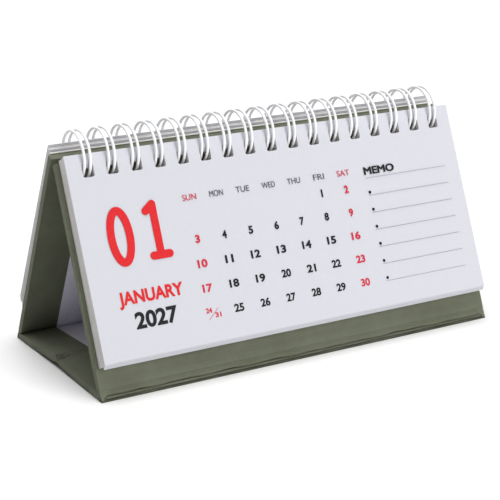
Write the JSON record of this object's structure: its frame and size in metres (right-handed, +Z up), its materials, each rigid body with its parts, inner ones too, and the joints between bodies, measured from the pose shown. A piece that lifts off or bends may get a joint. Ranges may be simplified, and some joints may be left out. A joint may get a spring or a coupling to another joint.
{
  "type": "flip desk calendar",
  "caption": "Folding tent-shaped desk calendar: leaves on a twin-loop wire comb turn over the ridge of a paper-covered board stand.",
  "frame": {"origin": "centre of the footprint between the two bottom folds, on the desk", "axes": "+Z up, +X along the ridge, +Y towards the back of the stand"},
  "size_m": [0.153, 0.0678, 0.0802],
  "materials": {
    "cover_paper": "matt woven-grain covering paper, sage olive",
    "greyboard": "grey binding board",
    "lining_paper": "plain white end paper",
    "leaf_paper": "smooth uncoated white card",
    "wire": "white nylon-coated steel wire"
  },
  "bodies": {
    "base_rear": {"board_base_rear": "greyboard", "cover_base_rear": "cover_paper", "lining_base_rear": "lining_paper", "hinge_rear": "cover_paper", "hinge_crease": "cover_paper"},
    "base_front": {"board_base_front": "greyboard", "cover_base_front": "cover_paper", "lining_base_front": "lining_paper", "hinge_front": "cover_paper"},
    "back_board": {"board_back": "greyboard", "cover_back": "cover_paper", "lining_back": "lining_paper", "wire_comb": "wire"},
    "front_board": {"board_front": "greyboard", "cover_front": "cover_paper", "lining_front": "lining_paper"},
    "leaf_dec": {"leaf_dec": "leaf_paper"},
    "leaf_nov": {"leaf_nov": "leaf_paper"},
    "leaf_oct": {"leaf_oct": "leaf_paper"},
    "leaf_sep": {"leaf_sep": "leaf_paper"},
    "leaf_aug": {"leaf_aug": "leaf_paper"},
    "leaf_jul": {"leaf_jul": "leaf_paper"},
    "leaf_jun": {"leaf_jun": "leaf_paper"},
    "leaf_may": {"leaf_may": "leaf_paper"},
    "leaf_apr": {"leaf_apr": "leaf_paper"},
    "leaf_mar": {"leaf_mar": "leaf_paper"},
    "leaf_feb": {"leaf_feb": "leaf_paper"},
    "leaf_jan": {"leaf_jan": "leaf_paper"},
    "leaf_title": {"leaf_title": "leaf_paper"},
    "leaf_turned_1": {"leaf_turned_1": "leaf_paper"},
    "leaf_turned_2": {"leaf_turned_2": "leaf_paper"},
    "leaf_turned_3": {"leaf_turned_3": "leaf_paper"},
    "leaf_turned_4": {"leaf_turned_4": "leaf_paper"},
    "leaf_turned_5": {"leaf_turned_5": "leaf_paper"},
    "leaf_turned_6": {"leaf_turned_6": "leaf_paper"}
  },
  "joints": [
    {"name": "stand_fold", "type": "hinge", "parent": "base_rear", "child": "back_board", "pos_m": [0, 0.03375, -0.00008], "axis": [-1, 0, 0], "range_deg": [0, 117.33], "deforming": ["hinge_rear"]},
    {"name": "ridge_fold", "type": "hinge", "parent": "back_board", "child": "front_board", "pos_m": [0, -0.00135, 0.07152], "axis": [1, 0, 0], "range_deg": [0, 46.98]},
    {"name": "crease_fold", "type": "hinge", "parent": "base_rear", "child": "base_front", "pos_m": [0, 0.00058, 0.00407], "axis": [-1, 0, 0], "range_deg": [0, 185.79], "deforming": ["hinge_crease", "hinge_front"]},
    {"name": "leaf_dec_turn", "type": "hinge", "parent": "front_board", "child": "leaf_dec", "pos_m": [0, -0.00135, 0.07152], "axis": [1, 0, 0], "range_deg": [-8, 0]},
    {"name": "leaf_nov_turn", "type": "hinge", "parent": "leaf_dec", "child": "leaf_nov", "pos_m": [0, -0.00135, 0.07152], "axis": [1, 0, 0], "range_deg": [-8, 0]},
    {"name": "leaf_oct_turn", "type": "hinge", "parent": "leaf_nov", "child": "leaf_oct", "pos_m": [0, -0.00135, 0.07152], "axis": [1, 0, 0], "range_deg": [-8, 0]},
    {"name": "leaf_sep_turn", "type": "hinge", "parent": "leaf_oct", "child": "leaf_sep", "pos_m": [0, -0.00135, 0.07152], "axis": [1, 0, 0], "range_deg": [-8, 0]},
    {"name": "leaf_aug_turn", "type": "hinge", "parent": "leaf_sep", "child": "leaf_aug", "pos_m": [0, -0.00135, 0.07152], "axis": [1, 0, 0], "range_deg": [-8, 0]},
    {"name": "leaf_jul_turn", "type": "hinge", "parent": "leaf_aug", "child": "leaf_jul", "pos_m": [0, -0.00135, 0.07152], "axis": [1, 0, 0], "range_deg": [-8, 0]},
    {"name": "leaf_jun_turn", "type": "hinge", "parent": "leaf_jul", "child": "leaf_jun", "pos_m": [0, -0.00135, 0.07152], "axis": [1, 0, 0], "range_deg": [-8, 0]},
    {"name": "leaf_may_turn", "type": "hinge", "parent": "leaf_jun", "child": "leaf_may", "pos_m": [0, -0.00135, 0.07152], "axis": [1, 0, 0], "range_deg": [-8, 0]},
    {"name": "leaf_apr_turn", "type": "hinge", "parent": "leaf_may", "child": "leaf_apr", "pos_m": [0, -0.00135, 0.07152], "axis": [1, 0, 0], "range_deg": [-8, 0]},
    {"name": "leaf_mar_turn", "type": "hinge", "parent": "leaf_apr", "child": "leaf_mar", "pos_m": [0, -0.00135, 0.07152], "axis": [1, 0, 0], "range_deg": [-8, 0]},
    {"name": "leaf_feb_turn", "type": "hinge", "parent": "leaf_mar", "child": "leaf_feb", "pos_m": [0, -0.00135, 0.07152], "axis": [1, 0, 0], "range_deg": [-8, 0]},
    {"name": "leaf_jan_turn", "type": "hinge", "parent": "leaf_feb", "child": "leaf_jan", "pos_m": [0, -0.00135, 0.07152], "axis": [-1, 0, 0], "range_deg": [0, 146]},
    {"name": "leaf_title_turn", "type": "hinge", "parent": "back_board", "child": "leaf_title", "pos_m": [0, -0.00135, 0.07152], "axis": [-1, 0, 0], "range_deg": [-5, 0]},
    {"name": "leaf_turned_1_turn", "type": "hinge", "parent": "leaf_title", "child": "leaf_turned_1", "pos_m": [0, -0.00135, 0.07152], "axis": [-1, 0, 0], "range_deg": [-5, 0]},
    {"name": "leaf_turned_2_turn", "type": "hinge", "parent": "leaf_turned_1", "child": "leaf_turned_2", "pos_m": [0, -0.00135, 0.07152], "axis": [-1, 0, 0], "range_deg": [-5, 0]},
    {"name": "leaf_turned_3_turn", "type": "hinge", "parent": "leaf_turned_2", "child": "leaf_turned_3", "pos_m": [0, -0.00135, 0.07152], "axis": [-1, 0, 0], "range_deg": [-5, 0]},
    {"name": "leaf_turned_4_turn", "type": "hinge", "parent": "leaf_turned_3", "child": "leaf_turned_4", "pos_m": [0, -0.00135, 0.07152], "axis": [-1, 0, 0], "range_deg": [-5, 0]},
    {"name": "leaf_turned_5_turn", "type": "hinge", "parent": "leaf_turned_4", "child": "leaf_turned_5", "pos_m": [0, -0.00135, 0.07152], "axis": [-1, 0, 0], "range_deg": [-5, 0]},
    {"name": "leaf_turned_6_turn", "type": "hinge", "parent": "leaf_turned_5", "child": "leaf_turned_6", "pos_m": [0, -0.00135, 0.07152], "axis": [-1, 0, 0], "range_deg": [-5, 0]}
  ],
  "couplings": [
    {"joint": "ridge_fold", "follows": "stand_fold", "ratio": 0.40042},
    {"joint": "crease_fold", "follows": "stand_fold", "ratio": 1.5834}
  ]
}
